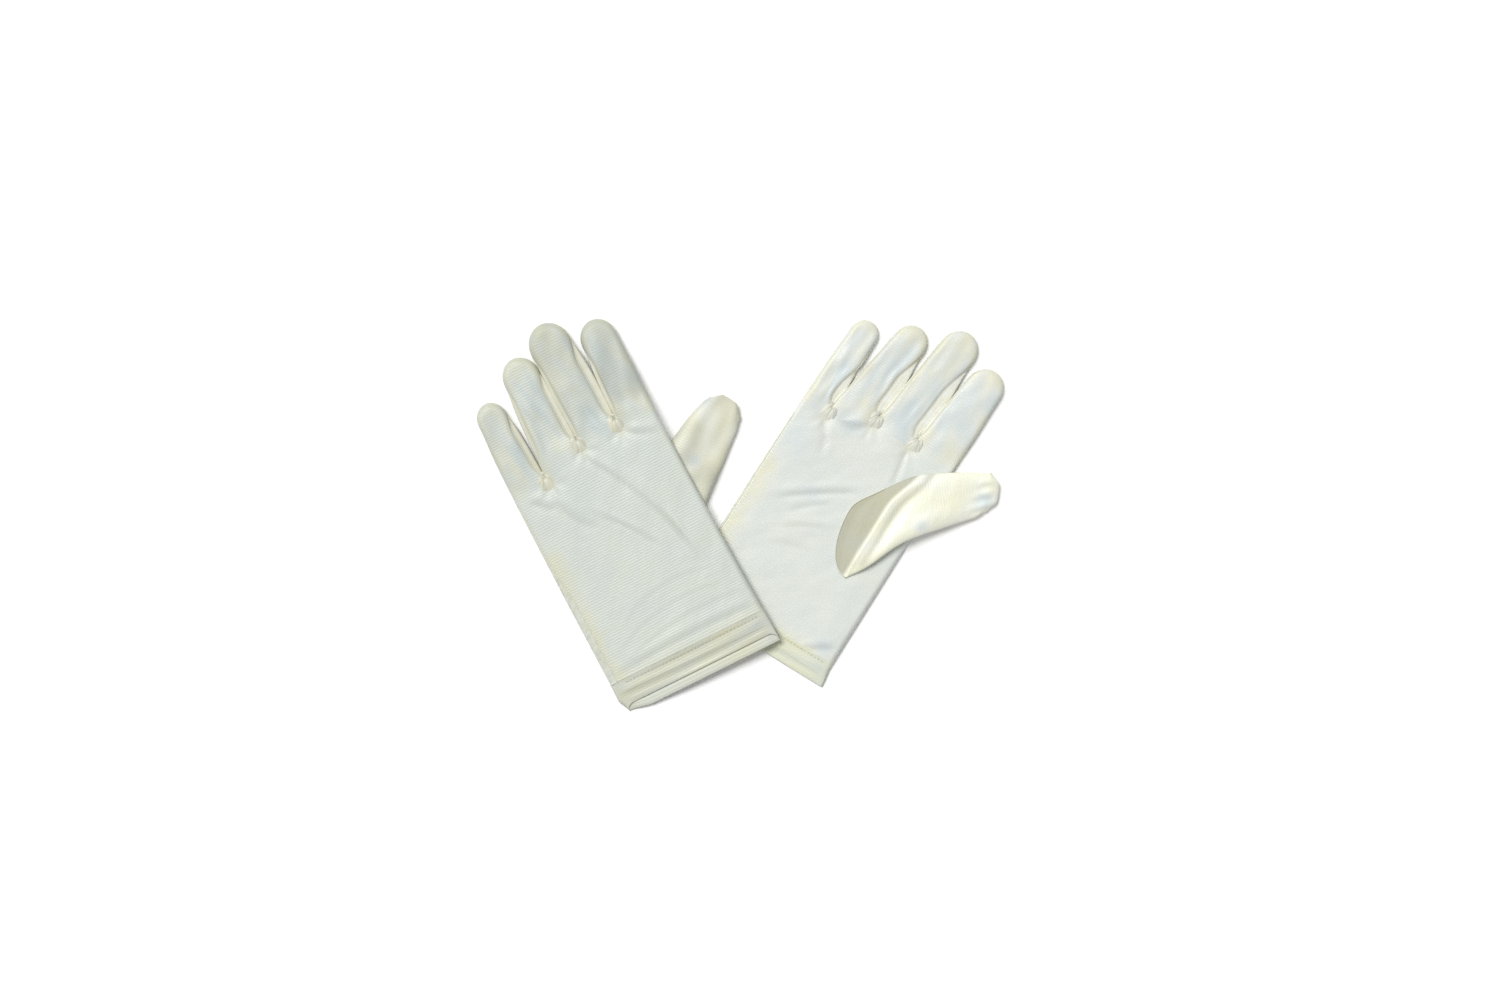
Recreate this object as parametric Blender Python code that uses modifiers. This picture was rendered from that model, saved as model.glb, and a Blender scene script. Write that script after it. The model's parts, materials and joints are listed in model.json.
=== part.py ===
"""A pair of satin dress gloves laid flat, one lying across the cuff of the other.

The right-hand glove lies palm up on the floor. The left-hand glove lies back up, its cuff across
the first one's cuff, its thumb folded under its palm. Each glove is sewn from a palm, a back, a
cuff hem, a side seam tape, two panels for each finger, narrow fourchettes between the fingers and
two thumb panels. A glove is drawn in its own frame: x runs across to the thumb side, y from the
cuff to the fingertips and z up from its under layer.
"""

import math

import bmesh
import bpy
from mathutils import Matrix, Vector

MM = 0.001

# Cloth, and the gap that separate pieces keep
CLOTH = 0.55 * MM
GAP = 0.3 * MM
HEM_CLOTH = 0.8 * MM

# Hand, from the cuff's edge to the knuckles
HEM_LENGTH = 15.0 * MM
LITTLE_KNUCKLE = 141.5 * MM
RING_KNUCKLE = 151.0 * MM
KNUCKLE = 152.0 * MM
HINGE_GAP = 2.3 * MM
LITTLE_CROTCH = -31.0 * MM
CROTCH_HALF = 0.8 * MM
CUFF_HALF = 50.5 * MM
INDEX_WAIST = 3.0 * MM
EDGE_ROUND = 8.0 * MM

# Where two panels meet at a plain seam, and where a strip of cloth stands between them
PLAIN_SEAM = 0.6 * MM
STRIP_SEAM = 1.9 * MM
STRIP_HALF = 1.25 * MM

# Finger, in mm: base centre across the hand, knuckle, length, base width, tip width, lean in degrees
FINGERS = {
    "left": {
        "index": (35.0, 152.0, 63.0, 26.3, 24.0, 0.6),
        "middle": (8.5, 152.0, 74.0, 25.3, 26.4, 0.7),
        "ring": (-17.8, 151.0, 63.5, 25.8, 22.4, 1.5),
        "little": (-43.0, 141.5, 57.5, 20.6, 18.0, -0.5),
    },
    "right": {
        "index": (35.0, 152.0, 62.0, 26.3, 23.5, 4.8),
        "middle": (8.5, 152.0, 72.5, 25.3, 25.0, 3.6),
        "ring": (-17.8, 151.0, 62.0, 25.8, 22.0, 4.4),
        "little": (-39.2, 141.5, 57.0, 15.4, 17.5, 2.6),
    },
}
# The sides of each finger that carry a fourchette: -1 towards the little finger, 1 towards the thumb
FOURCHETTES = {
    "index": (-1,),
    "middle": (-1, 1),
    "ring": (-1, 1),
    "little": (1,),
}
FINGER_BULGE = 1.3 * MM
TIP_ROUND = 1.05
SIDE_ROUND = 0.4

# Thumb: a hinge beside the oval that it is sewn to in the palm, x running out along the thumb
THUMB_HINGE = (12.0 * MM, 98.0 * MM)
OVAL_CENTRE_X = 12.0 * MM
OVAL_REACH = 11.6 * MM
OVAL_HALF = 37.0 * MM
THUMB_MIDDLE_HALF = 19.0 * MM
THUMB_BOW = 3.0 * MM
THUMB_TIP_HALF = 9.6 * MM
THUMB_CORNER_CUT = 3.5 * MM
THUMB_BASE_THICK = 3.6 * MM
THUMB_THICK = 6.4 * MM
THUMB_INNER_START = 0.24
THUMB_HOLE = (14.0 * MM, 0.0 * MM, 8.0 * MM, 27.0 * MM)
THUMB_BACK_ROWS = (-0.93, -0.75, -0.4)
THUMB_ROWS = (0.0, 0.12, 0.24, 0.36, 0.52, 0.7, 0.86, 0.95, 1.0)
THUMB_COLUMNS = (-1.0, -0.9, -0.55, 0.0, 0.55, 0.9, 1.0)

# The upper glove's under side rises from its little-finger edge towards its thumb
TILT_SLOPE = 0.06
EDGE_HEIGHT = 2.0 * MM

GLOVES = {
    "right": {
        "place": (4.85 * MM, -75.5 * MM),
        "turn": -31.8,
        "thick": 6.2 * MM,
        "palm_side": 1,
        "thumb_tip": (81.5 * MM, 153.0 * MM),
        "thumb_turn": 42.5,
        "thumb_drop": 5.0 * MM,
        "thumb_pitch": 0.0,
        "slip": 0.0,
        "spread": 0.0,
        "taper": 3.8 * MM,
        "pitches": {"index": 0.0, "middle": 0.0, "ring": 0.0, "little": 0.0},
    },
    "left": {
        "place": (-23.2 * MM, -91.6 * MM),
        "turn": 26.6,
        "thick": 7.6 * MM,
        "palm_side": -1,
        "thumb_tip": (89.5 * MM, 135.0 * MM),
        "thumb_turn": 32.0,
        "thumb_drop": 0.0,
        "thumb_pitch": 1.2,
        "slip": 6.0 * MM,
        "spread": 4.0 * MM,
        "taper": 0.0,
        "pitches": {"index": 6.2, "middle": 4.2, "ring": 3.2, "little": 2.0},
    },
}

COLOURS = {
    "satin": ((0.72, 0.74, 0.68, 1.0), 0.42),
    "hem": ((0.70, 0.70, 0.58, 1.0), 0.45),
    "fourchette": ((0.70, 0.68, 0.50, 1.0), 0.45),
    "seam": ((0.64, 0.62, 0.42, 1.0), 0.5),
    "thumb": ((0.74, 0.74, 0.62, 1.0), 0.42),
}


def smooth(t):
    """0 below 0, 1 above 1, and an even S between."""
    t = min(max(t, 0.0), 1.0)
    return t * t * (3.0 - 2.0 * t)


def quarter_round(t):
    """Height of a rounded edge, from 0 at the edge to 1 where it levels out."""
    return math.sqrt(1.0 - (1.0 - min(max(t, 0.0), 1.0)) ** 2)


def blend(a, b, t):
    return a + (b - a) * t


def clear_scene():
    for thing in list(bpy.data.objects):
        bpy.data.objects.remove(thing, do_unlink=True)


def new_collection(name):
    group = bpy.data.collections.new(name)
    bpy.context.scene.collection.children.link(group)
    return group


def material(kind):
    """One finish for each kind of cloth piece."""
    made = bpy.data.materials.get(kind)
    if made is None:
        colour, roughness = COLOURS[kind]
        made = bpy.data.materials.new(kind)
        made.use_nodes = True
        shader = made.node_tree.nodes["Principled BSDF"]
        shader.inputs["Base Color"].default_value = colour
        shader.inputs["Roughness"].default_value = roughness
        shader.inputs["Metallic"].default_value = 0.0
    return made


def add_empty(name, parent, matrix):
    empty = bpy.data.objects.new(name, None)
    empty.empty_display_size = 10.0 * MM
    bpy.context.scene.collection.objects.link(empty)
    empty.parent = parent
    empty.matrix_local = matrix
    return empty


def add_shell(name, kind, parent, bm, outward_up, thickness=CLOTH):
    """A cloth piece: the outer surface in bm, given its thickness towards the inside."""
    if not outward_up:
        bmesh.ops.reverse_faces(bm, faces=bm.faces)
    mesh = bpy.data.meshes.new(name)
    bm.to_mesh(mesh)
    bm.free()
    mesh.materials.append(material(kind))
    mesh.shade_smooth()
    mesh.set_sharp_from_angle(angle=math.radians(40.0))
    piece = bpy.data.objects.new(name, mesh)
    PARTS.objects.link(piece)
    piece.parent = parent
    solid = piece.modifiers.new("thickness", "SOLIDIFY")
    solid.thickness = thickness
    solid.offset = -1.0
    solid.use_even_offset = False
    return piece


def grid(columns, rows, place):
    """A sheet of quads whose corner at each column and row sits at place(column, row)."""
    bm = bmesh.new()
    bmesh.ops.create_grid(bm, x_segments=len(columns) - 1, y_segments=len(rows) - 1, size=1.0)
    for vert in bm.verts:
        i = round((vert.co.x + 1.0) / 2.0 * (len(columns) - 1))
        j = round((vert.co.y + 1.0) / 2.0 * (len(rows) - 1))
        vert.co = place(columns[i], rows[j])
    return bm


class Glove:
    """One glove's shape in its own frame."""

    def __init__(self, side):
        self.side = side
        for key, value in GLOVES[side].items():
            setattr(self, key, value)
        self.middle = self.thick / 2.0

    def edges(self, y):
        """The hand's little-finger edge and index edge at a height y up the glove."""
        swell = math.sin(math.pi * min(max(y / KNUCKLE, 0.0), 1.0))
        taper = smooth((y / KNUCKLE - 0.45) / 0.5)
        low = -CUFF_HALF - self.spread * swell + self.taper * taper
        return low, CUFF_HALF - INDEX_WAIST * swell

    def height(self, x, y):
        """Thickness of the hand here; the lower glove is pressed flatter under the upper one."""
        if self.side == "left":
            return self.thick
        place = self.world @ Vector((x, y, 0.0))
        return min(self.thick, upper_plane(place) - 1.2 * GAP)

    def hand_height(self, x, y, upward, border):
        """Surface height of the hand's upper or under layer, rounded down to the seam."""
        low, high = self.edges(y)
        middle = self.height(x, y) / 2.0
        rise = quarter_round(min(x - low, high - x) / EDGE_ROUND)
        reach = blend(border, middle, rise)
        return middle + reach if upward else middle - reach


def upper_plane(point):
    """Height above the floor of the upper glove's under side, at a point of the floor."""
    turn = math.radians(GLOVES["left"]["turn"])
    x0, y0 = GLOVES["left"]["place"]
    across = (point[0] - x0) * math.cos(turn) + (point[1] - y0) * math.sin(turn)
    return EDGE_HEIGHT + (across + CUFF_HALF) * TILT_SLOPE


def knuckle_line(x):
    """Where the hand's cloth ends, just short of the hinge of the finger that stands at x."""
    step = smooth((x - LITTLE_CROTCH) / (2.0 * CROTCH_HALF) + 0.5)
    return blend(LITTLE_KNUCKLE, RING_KNUCKLE, step) - HINGE_GAP


def hand_panel(glove, name, kind, upward, parent):
    """The palm or the back, from the hem to the knuckles."""
    low, high = glove.edges(KNUCKLE)
    near = [0.0, 0.12, 0.42, 1.0]
    columns = [low + EDGE_ROUND * step for step in near]
    columns += [LITTLE_CROTCH - CROTCH_HALF, LITTLE_CROTCH + CROTCH_HALF, 4.0 * MM]
    columns += [high - EDGE_ROUND * step for step in reversed(near)]
    rows = [k / 7.0 for k in range(8)]

    def place(column, row):
        y = blend(HEM_LENGTH + GAP, knuckle_line(column), row)
        left, right = glove.edges(y)
        x = blend(left, right, (column - low) / (high - low))
        border = STRIP_SEAM if x < 0.0 else PLAIN_SEAM
        return x, y, glove.hand_height(x, y, upward, border)

    return add_shell(name, kind, parent, grid(columns, rows, place), upward)


def cuff_hem(glove, parent):
    """The folded band round the cuff's mouth, its under layer slipped a little past the upper."""
    low, high = glove.edges(0.0)
    steps = [0.0, 0.12, 0.42, 1.0]
    across = [low + EDGE_ROUND * step for step in steps] + [blend(low, high, 0.5)]
    across += [high - EDGE_ROUND * step for step in reversed(steps)]
    ring = [(x, True) for x in across] + [(x, False) for x in reversed(across[1:-1])]
    bm = bmesh.new()
    bmesh.ops.create_circle(bm, segments=len(ring), radius=1.0)
    verts = sorted(bm.verts, key=lambda vert: math.atan2(vert.co.y, vert.co.x))
    edges = list(bm.edges)
    grown = bmesh.ops.extrude_edge_only(bm, edges=edges)["geom"]
    ends = [item for item in grown if isinstance(item, bmesh.types.BMVert)]
    ends.sort(key=lambda vert: math.atan2(vert.co.y, vert.co.x))
    for loop, y_end in ((verts, 0.0), (ends, HEM_LENGTH)):
        for vert, (x, upward) in zip(loop, ring):
            z = glove.hand_height(x, y_end, upward, 0.0)
            slip = glove.slip * (1.0 - z / glove.thick) if y_end == 0.0 else 0.0
            vert.co = (x, y_end - slip, z)
    bmesh.ops.recalc_face_normals(bm, faces=bm.faces)
    return add_shell(f"{glove.side}_cuff_hem", "hem", parent, bm, True, HEM_CLOTH)


def side_seam(glove, parent):
    """The tape between palm and back down the little-finger side."""
    rows = [k / 6.0 for k in range(7)]

    def place(column, row):
        y = blend(HEM_LENGTH + GAP, LITTLE_KNUCKLE - HINGE_GAP, row)
        x = glove.edges(y)[0]
        return x, y, glove.height(x, y) / 2.0 + column * STRIP_HALF

    return add_shell(f"{glove.side}_side_seam", "seam", parent, grid([-1.0, 1.0], rows, place), True)


def finger_half_width(y, length, base, tip):
    """Half the finger's width, with a round tip."""
    shoulder = length - TIP_ROUND * tip / 2.0
    width = blend(base, tip, min(y / shoulder, 1.0)) / 2.0
    past = max(y - shoulder, 0.0) / (length - shoulder)
    return width * math.sqrt(max(1.0 - past * past, 0.0))


def finger_end(x, length, tip):
    """How far up the finger its round tip reaches at x across."""
    round_length = TIP_ROUND * tip / 2.0
    return length - round_length + round_length * math.sqrt(max(1.0 - (2.0 * x / tip) ** 2, 0.0))


def finger_rows(length, tip):
    """Stations along the finger, from the hinge to the last one, which follows the round tip."""
    shoulder = length - TIP_ROUND * tip / 2.0
    first = 2.0 * GAP
    body = [blend(first, shoulder, k / 4.0) for k in range(5)]
    round_part = [blend(shoulder, length, step) for step in (0.5, 0.8, 0.94)]
    return body + round_part


def finger_panel(glove, finger, upward, kind, name, parent):
    """The upper or under half of a finger stall."""
    length, base, tip = (value * MM for value in FINGERS[glove.side][finger][2:5])
    rows = finger_rows(length, tip)
    hinge_z = glove.thick if glove.palm_side > 0 else 0.0
    columns = [-1.0, -0.9, -0.6, 0.6, 0.9, 1.0]

    def place(column, row):
        half = finger_half_width(row, length, base, tip)
        x = column * half
        y = finger_end(x, length, tip) if row == rows[-1] else row
        sewn = STRIP_SEAM if math.copysign(1, column) in FOURCHETTES[finger] else PLAIN_SEAM
        border = blend(sewn, PLAIN_SEAM, smooth((row / length - 0.72) / 0.16))
        bulge = FINGER_BULGE * math.sin(math.pi * min(row / length, 1.0)) if upward else 0.0
        across = quarter_round((1.0 - abs(column)) / SIDE_ROUND)
        along = quarter_round((finger_end(x, length, tip) - y) / (SIDE_ROUND * tip / 2.0))
        height = blend(border, glove.middle + bulge, across * along)
        z = glove.middle + height if upward else glove.middle - height
        return x, y, z - hinge_z

    return add_shell(name, kind, parent, grid(columns, rows, place), upward)


def fourchette(glove, finger, side, parent):
    """The narrow side strip of a finger stall, tapering towards the tip."""
    length, base, tip = (value * MM for value in FINGERS[glove.side][finger][2:5])
    hinge_z = glove.thick if glove.palm_side > 0 else 0.0
    rows = [blend(2.0 * GAP, 0.8 * length, k / 5.0) for k in range(6)]

    def place(column, row):
        half = finger_half_width(row, length, base, tip)
        tall = blend(STRIP_HALF, 0.5 * MM, smooth((row / length - 0.55) / 0.25))
        return side * half, row, glove.middle - hinge_z + column * tall

    where = "thumbward" if side > 0 else "outward"
    name = f"{glove.side}_{finger}_fourchette_{where}"
    return add_shell(name, "fourchette", parent, grid([-1.0, 1.0], rows, place), side < 0)


def add_finger(glove, finger, hand):
    """A finger stall on its knuckle hinge, which runs along the palm's own surface."""
    across, up = FINGERS[glove.side][finger][0] * MM, FINGERS[glove.side][finger][1] * MM
    hinge_z = glove.thick if glove.palm_side > 0 else 0.0
    lean = Matrix.Rotation(math.radians(-FINGERS[glove.side][finger][5]), 4, "Z")
    pitch = Matrix.Rotation(math.radians(-glove.pitches[finger]), 4, "X")
    matrix = Matrix.Translation((across, up, hinge_z)) @ lean @ pitch
    hinge = add_empty(f"{glove.side}_{finger}_hinge", hand, matrix)
    for upward in (True, False):
        face = "palm" if upward == (glove.palm_side > 0) else "back"
        finger_panel(glove, finger, upward, "satin", f"{glove.side}_{finger}_{face}", hinge)
    for side in FOURCHETTES[finger]:
        fourchette(glove, finger, side, hinge)


def thumb_frame(glove):
    """The thumb's hinge on the palm's surface: y along the hinge, x out along the thumb."""
    surface = glove.thick if glove.palm_side > 0 else 0.0
    pitch = Matrix.Rotation(math.radians(glove.thumb_pitch), 4, "Y")
    return Matrix.Translation((*THUMB_HINGE, surface)) @ pitch


def thumb_point(glove, column, row):
    """Where a thumb panel's corner lies, its thickness, and how deep it is inside the back edge.

    Rows below 0 reach back over the oval, rows from 0 to 1 run out along the stall.
    """
    if row < 0.0:
        y = column * OVAL_HALF * math.sqrt(1.0 - row * row)
        back_edge = math.sqrt(1.0 - (y / OVAL_HALF) ** 2)
        x = -back_edge if row == THUMB_BACK_ROWS[0] else row
        return OVAL_CENTRE_X + OVAL_REACH * x, y, THUMB_BASE_THICK, 1.0 + x / back_edge
    tip = thumb_frame(glove).inverted() @ Vector((*glove.thumb_tip, 0.0))
    angle = math.radians(90.0 + glove.thumb_turn * smooth(1.4 * row))
    across = Vector((math.cos(angle), math.sin(angle)))
    if row < 0.35:
        half = blend(OVAL_HALF, THUMB_MIDDLE_HALF, math.sin(math.pi / 2.0 * row / 0.35))
    else:
        half = blend(THUMB_MIDDLE_HALF, THUMB_TIP_HALF, (row - 0.35) / 0.65)
    corner = smooth((abs(column) - 0.6) / 0.4) * smooth((row - 0.86) / 0.14)
    outward = Vector((across.y, -across.x))
    sideways = column * half + THUMB_BOW * math.sin(math.pi * row)
    centre = Vector((blend(OVAL_CENTRE_X, tip.x, row), tip.y * row))
    point = centre + across * sideways - outward * corner * THUMB_CORNER_CUT
    return point.x, point.y, blend(THUMB_BASE_THICK, THUMB_THICK, smooth(row / 0.4)), 1.0


def thumb_panel(glove, outer, hinge):
    """The thumb's outer half, which also covers the oval, or its half next to the palm."""
    rows = [row for row in THUMB_ROWS if outer or row >= THUMB_INNER_START]
    if outer:
        rows = list(THUMB_BACK_ROWS) + rows
    frame = thumb_frame(glove)

    def place(column, row):
        x, y, thick, inside = thumb_point(glove, column, row)
        across = quarter_round((1.0 - abs(column)) / 0.45)
        back = quarter_round(inside / 0.5)
        tip = quarter_round((1.0 - row) / 0.1) if row > 0.0 else 1.0
        settle = smooth(row / 0.3) if outer else 1.0
        middle = blend(GAP, GAP + thick / 2.0, settle)
        reach = blend(thick, thick / 2.0, settle)
        height = blend(PLAIN_SEAM, reach, across * back * tip)
        level = middle + height if outer else middle - height
        beyond = (frame @ Vector((x, y, 0.0))).x - CUFF_HALF
        drop = glove.thumb_drop * smooth(beyond / (glove.thumb_tip[0] - CUFF_HALF))
        return x, y, glove.palm_side * level - drop

    faces_down = outer != (glove.palm_side > 0)
    name = f"{glove.side}_thumb_{'outer' if outer else 'inner'}"
    return add_shell(name, "thumb", hinge, grid(THUMB_COLUMNS, rows, place), faces_down)


def add_thumb(glove, hand):
    """The thumb stall on its hinge, which runs beside the oval on the palm's surface."""
    hinge = add_empty(f"{glove.side}_thumb_hinge", hand, thumb_frame(glove))
    for outer in (True, False):
        thumb_panel(glove, outer, hinge)


def cut_thumb_hole(glove, palm, hand):
    """The oval hole in the palm that the thumb is sewn to."""
    x, y, half_x, half_y = THUMB_HOLE
    bm = bmesh.new()
    bmesh.ops.create_cone(bm, cap_ends=True, segments=20, radius1=1.0, radius2=1.0, depth=1.0)
    bmesh.ops.scale(bm, vec=(half_x, half_y, 6.0 * MM), verts=bm.verts)
    bmesh.ops.translate(bm, vec=(x, y, 0.0), verts=bm.verts)
    mesh = bpy.data.meshes.new(f"{glove.side}_thumb_hole")
    bm.to_mesh(mesh)
    bm.free()
    cutter = bpy.data.objects.new(f"{glove.side}_thumb_hole", mesh)
    CUTTERS.objects.link(cutter)
    cutter.parent = hand
    cutter.matrix_local = thumb_frame(glove)
    cutter.display_type = "WIRE"
    cutter.hide_render = True
    cut = palm.modifiers.new("thumb_hole", "BOOLEAN")
    cut.operation = "DIFFERENCE"
    cut.object = cutter


def add_glove(side):
    """All the pieces of one glove, hung from an empty at the middle of its cuff."""
    glove = Glove(side)
    x, y = glove.place
    turn = Matrix.Rotation(math.radians(glove.turn), 4, "Z")
    if side == "left":
        tilt = Matrix.Rotation(-math.atan(TILT_SLOPE), 4, "Y")
        height = EDGE_HEIGHT + CUFF_HALF * TILT_SLOPE
    else:
        tilt = Matrix.Identity(4)
        height = 0.0
    glove.world = Matrix.Translation((x, y, height)) @ turn @ tilt
    hand = add_empty(f"{side}_hand", None, glove.world)
    back_up = glove.palm_side < 0
    hand_panel(glove, f"{side}_back", "satin", back_up, hand)
    palm = hand_panel(glove, f"{side}_palm", "satin", not back_up, hand)
    cut_thumb_hole(glove, palm, hand)
    cuff_hem(glove, hand)
    side_seam(glove, hand)
    for finger in FINGERS[side]:
        add_finger(glove, finger, hand)
    add_thumb(glove, hand)


clear_scene()
PARTS = new_collection("satin_dress_gloves")
CUTTERS = new_collection("cutters")
for glove_side in ("right", "left"):
    add_glove(glove_side)
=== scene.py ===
"""Looks of a pair of satin dress gloves laid flat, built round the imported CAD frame.

Each glove's cloth is worked out in the glove's own frame, in millimetres: x across towards the
thumb side, y from the cuff to the fingertips, z up from its under layer. Panels that are sewn
together share their border points, so the cloth has no gaps, and the pieces are cut where the
CAD's bodies part.
"""
import json
import math

import bpy
import numpy as np
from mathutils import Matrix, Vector, noise


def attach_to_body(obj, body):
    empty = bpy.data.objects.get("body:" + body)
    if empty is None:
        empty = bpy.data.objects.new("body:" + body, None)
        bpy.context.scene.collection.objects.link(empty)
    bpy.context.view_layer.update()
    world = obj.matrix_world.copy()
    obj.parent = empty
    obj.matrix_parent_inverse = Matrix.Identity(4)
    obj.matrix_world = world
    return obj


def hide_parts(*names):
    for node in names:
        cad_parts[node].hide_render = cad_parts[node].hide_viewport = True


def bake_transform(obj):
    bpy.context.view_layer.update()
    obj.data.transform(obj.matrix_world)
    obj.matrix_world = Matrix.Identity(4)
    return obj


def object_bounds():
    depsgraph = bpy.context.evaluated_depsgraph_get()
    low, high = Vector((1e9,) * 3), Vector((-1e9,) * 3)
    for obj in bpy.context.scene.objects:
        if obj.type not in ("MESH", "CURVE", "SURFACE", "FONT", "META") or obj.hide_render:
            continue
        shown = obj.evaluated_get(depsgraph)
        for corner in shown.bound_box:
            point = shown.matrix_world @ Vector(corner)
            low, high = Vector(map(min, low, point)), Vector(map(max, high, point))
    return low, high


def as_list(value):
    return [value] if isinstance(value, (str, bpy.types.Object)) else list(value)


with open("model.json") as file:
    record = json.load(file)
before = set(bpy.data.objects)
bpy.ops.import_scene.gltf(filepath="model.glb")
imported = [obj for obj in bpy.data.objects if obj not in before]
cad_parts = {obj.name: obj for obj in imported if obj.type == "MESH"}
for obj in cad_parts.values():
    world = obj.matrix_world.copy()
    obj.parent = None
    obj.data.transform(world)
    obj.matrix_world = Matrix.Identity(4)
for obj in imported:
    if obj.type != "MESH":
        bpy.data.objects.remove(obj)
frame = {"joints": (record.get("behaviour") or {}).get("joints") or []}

CAD_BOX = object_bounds()
MM = 0.001

# Cloth
CLOTH = 0.35
HEM_CLOTH = 0.4
SEAM_RADIUS = 0.3
OVAL_SEAM_RADIUS = 0.45
STITCH_RADIUS = 0.14
STITCH_LENGTH = 1.5
STITCH_RISE = 0.08
SIDE_STITCHES = (1.1, 2.3)  # how far in from the seam's ridge, and from one to the next
HEM_STITCHES = (1.6, 2.4)  # how far down from the hem's top, and from one to the next
HEM_STITCH_LIFT = 0.26
OVAL_SEAM_LIFT = 0.15
FINGER_SEAM_SHARE = 0.93  # of the way to the tip
WELD_GAP = 2e-4  # points nearer than this are one
SHARED_GAP = 1e-3  # points nearer than this are shaded as one

# Hand and fingers
KNUCKLE = 152.0
MIDDLE_X = 8.5
HEM_LENGTH = 15.0
CROTCHES = ((-31.4, 139.5), (-4.6, 150), (21.5, 150))
INDEX_TOP = 150.0
GATHERS = {
    "left": ((-33, 142), (-5.2, 153.6), (20.4, 154.4)),
    "right": ((-31, 144), (-4.2, 154.4), (23.2, 155)),
}
TIP_ROUND = 1.05
FINGER_TURN = (0.3, 16.5)  # where its cloth begins and ends its turn, beyond the hand's border
FINGERS = ("little", "ring", "middle", "index")
FINGER_SHAPES = {  # length, base width, tip width, lean in degrees, centre across, knuckle
    "left": {
        "index": (64, 23.4, 24, 0.6, 33.2, 152),
        "middle": (75.3, 25.8, 27.6, -2.3, 8.3, 152),
        "ring": (65.2, 26.2, 24.2, 0.2, -18.4, 151),
        "little": (58, 22.6, 20, -1.1, -44, 141.5),
    },
    "right": {
        "index": (63.8, 26.3, 24.8, 6.1, 35.1, 152),
        "middle": (75.2, 25.3, 25, 6.3, 8.5, 152),
        "ring": (63.5, 25.8, 22.6, 6.7, -17.8, 151),
        "little": (60.5, 17, 18.8, 3, -40.4, 141.5),
    },
}
FOURCHETTE_SIDES = {"little": (1,), "ring": (-1, 1), "middle": (-1, 1), "index": (-1,)}
STRIPS = {  # width seen of a fourchette on its outward and thumbward side, its reach, and how dark its painted shade lies
    "left": {-1: 1.9, 1: 3.4, "fade": 0.3, "little": 1.0, "shade": 0.9},
    "right": {-1: 0.9, 1: 4.8, "fade": 0.42, "little": 0.75, "shade": 0.4},
}

# How each glove lies: an edge is half a width at the cuff and at the knuckle, and a swell between
GLOVES = {
    "right": dict(
        thick=6.2, palm_side=1, slip=0.0, seam_band=1.2, flare=2.8, unevenness=(9.2, 35.0),
        little_edge=(50.5, 48.6, 0.6), index_edge=(50.3, 51.0, 0.0), mouth=1.8, corner=0.0,
    ),
    "left": dict(
        thick=7.6, palm_side=-1, slip=6.0, seam_band=4.8, flare=0.0, unevenness=(3.7, 60.0),
        little_edge=(52.6, 55.3, 0.4), index_edge=(50.5, 44.8, -0.7), mouth=0.0, corner=2.8,
    ),
}
LITTLE_EDGE_SAG = 1.6
GAP_BETWEEN = 0.5
UNDER_BAND = 1.2
FLOOR_GAP = 0.25
MOUTH_FILL = 0.4
LIP_CURL = 1.1
FILL = 0.76  # how full the loose cloth lies, of the thickness that the frame allows

# Thumb
THUMB_TURN = ((14.0, 98.0), (38.0, 98.0))  # where its cloth begins and ends its turn
THUMB_CORNER_CUT = 4.2
OVAL_REACH = 16.5
THUMBS = {  # the two edges of the stall, from the oval out to the tip
    "right": dict(
        lower=((30, 63.5), (37.5, 76), (48, 99.6), (66, 122.2), (84.6, 143.4)),
        upper=((21.5, 121), (33, 137), (49.3, 149.4), (62.8, 158), (74.9, 164.8)),
        drop=5.5,
    ),
    "left": dict(
        lower=((30, 63.5), (36, 74), (48, 88.5), (70, 107), (92, 126)),
        upper=((21.5, 121), (32, 125), (46, 130.5), (62.2, 138.6), (80.8, 145.2)),
        drop=3.4,
    ),
}

# Stage and camera, in metres
FLOOR_REACH = 3.0
VIEW_HEIGHT = 2.5
VIEW_SHIFT = (0.0062, 0.0092)

JOINTS = {joint["name"]: joint for joint in frame["joints"]}


def unit(t):
    return np.clip(t, 0.0, 1.0)


def smooth(t):
    t = unit(t)
    return t * t * (3.0 - 2.0 * t)


def lerp(a, b, t):
    return a + (b - a) * t


def quarter_round(t):
    return np.sqrt(np.maximum(1.0 - (1.0 - unit(t)) ** 2, 0.0))


def hill(d, width):
    return np.exp(-((d / width) ** 2))


def window(t, start, rise, end, fall):
    """1 between start and end, going softly to 0 outside them."""
    return smooth((t - start) / rise) * smooth((end - t) / fall)


def stack(*parts):
    return np.stack(np.broadcast_arrays(*parts), -1)


def spot(x, y, at, size):
    return hill(np.hypot(x - at[0], y - at[1]), size)


def fold_profile(near):
    """Height of a flattened tube of cloth at a distance in from its folded edge, from 0 to 1."""
    return 0.8 * quarter_round(near / 2.4) + 0.2 * smooth(near / 16.0)


def noise_at(x, y, scale, seed, stretch=1.0, turn=0.0):
    """Smooth noise from -1 to 1 whose features are about scale mm wide, drawn out along turn."""
    c, s = math.cos(math.radians(turn)), math.sin(math.radians(turn))
    u = (np.asarray(x) * c + np.asarray(y) * s) / (scale * stretch)
    v = (-np.asarray(x) * s + np.asarray(y) * c) / scale
    flat = [noise.noise(Vector((a, b, seed))) for a, b in zip(np.ravel(u), np.ravel(v))]
    return np.reshape(flat, np.shape(u))


def noise_on(points, *how):
    return noise_at(points[..., 0], points[..., 1], *how)


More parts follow.
